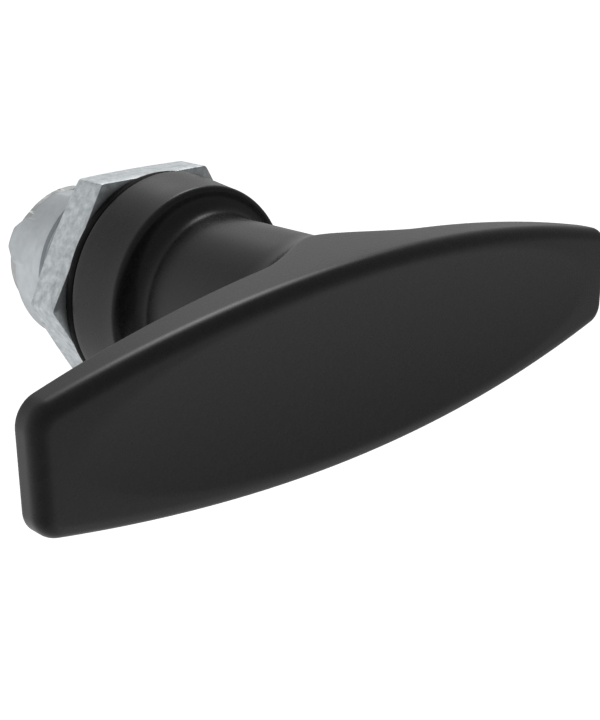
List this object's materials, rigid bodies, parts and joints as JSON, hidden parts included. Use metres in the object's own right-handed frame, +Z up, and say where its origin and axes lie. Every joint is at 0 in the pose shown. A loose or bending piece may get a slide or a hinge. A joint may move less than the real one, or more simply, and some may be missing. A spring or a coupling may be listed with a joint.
{
  "type": "quarter-turn cam latch",
  "caption": "Quarter-turn cam latch with a lens-shaped black T-handle on a flared stem and skirt, a threaded barrel with flats, gasket and hex nut for a door cut-out, and a cranked cam.",
  "frame": {"origin": "centre of the door's cut-out, on the door's front face, where the gasket bears", "axes": "+Y rearwards through the door along the turning axis, +Z up, +X to the right as seen from the front, along the level handle"},
  "size_m": [0.0834, 0.0621, 0.028],
  "materials": {
    "black_polyamide": "satin moulded",
    "zinc_casting": "zinc alloy casting, mottled and dull",
    "plated_steel": "bright zinc plated",
    "spring_steel": "phosphated and oiled",
    "seal_rubber": "matt",
    "glide_plastic": "smooth"
  },
  "bodies": {
    "housing_body": {"housing": "zinc_casting", "flange_gasket": "seal_rubber", "glide_washer": "glide_plastic", "disc_spring": "spring_steel"},
    "nut_body": {"hex_nut": "zinc_casting"},
    "turning_body": {"t_handle": "black_polyamide", "spindle": "plated_steel", "shaft_seal": "seal_rubber", "circlip": "spring_steel", "stop_disc": "plated_steel", "cam": "plated_steel", "cam_washer": "plated_steel", "lock_washer": "spring_steel", "cam_screw": "plated_steel"}
  },
  "joints": [
    {"name": "handle_turn", "type": "hinge", "parent": "housing_body", "child": "turning_body", "pos_m": [0, 0, 0], "axis": [0, 1, 0], "range_deg": [0, 90]},
    {"name": "nut_travel", "type": "slide", "parent": "housing_body", "child": "nut_body", "axis": [0, 1, 0], "range_m": [0, 0.006]}
  ]
}
